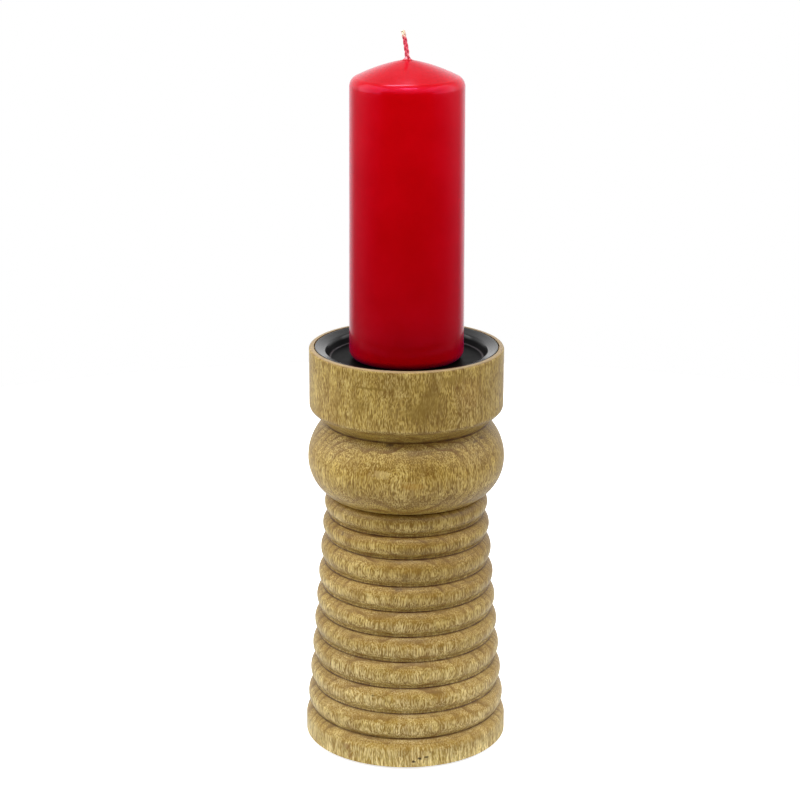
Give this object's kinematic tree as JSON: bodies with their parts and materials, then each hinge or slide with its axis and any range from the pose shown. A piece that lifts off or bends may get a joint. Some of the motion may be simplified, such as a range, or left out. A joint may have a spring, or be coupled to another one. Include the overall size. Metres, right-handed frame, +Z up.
{
  "type": "pillar candle holder",
  "caption": "Turned wooden pillar candle holder with a beaded column, a round band and a drum top that holds a black metal dish, shown with its candle",
  "frame": {"origin": "on the table, under the middle of the four felt pads", "axes": "+Z up along the axis of turning, +Y away from the picture's camera"},
  "size_m": [0.1068, 0.1068, 0.3771],
  "materials": {
    "wood": "thin satin oil over yellowish brown hardwood",
    "dish_metal": "satin black coating",
    "screw_steel": "zinc plated",
    "felt": "matte brown felt",
    "wax": "smooth dyed wax with a soft sheen",
    "wick_cotton": "braided cotton, partly dyed by the wax",
    "tab_tin": "thin tinned sheet"
  },
  "bodies": {
    "holder": {"turned_body": "wood", "candle_dish": "dish_metal", "dish_screw": "screw_steel", "felt_pad_1": "felt", "felt_pad_2": "felt", "felt_pad_3": "felt", "felt_pad_4": "felt"},
    "candle": {"candle_wax": "wax", "candle_wick": "wick_cotton", "wick_tab": "tab_tin"}
  },
  "joints": [
    {"name": "candle_lift", "type": "slide", "parent": "holder", "child": "candle", "axis": [0, 0, 1], "range_m": [0, 0.08]}
  ]
}
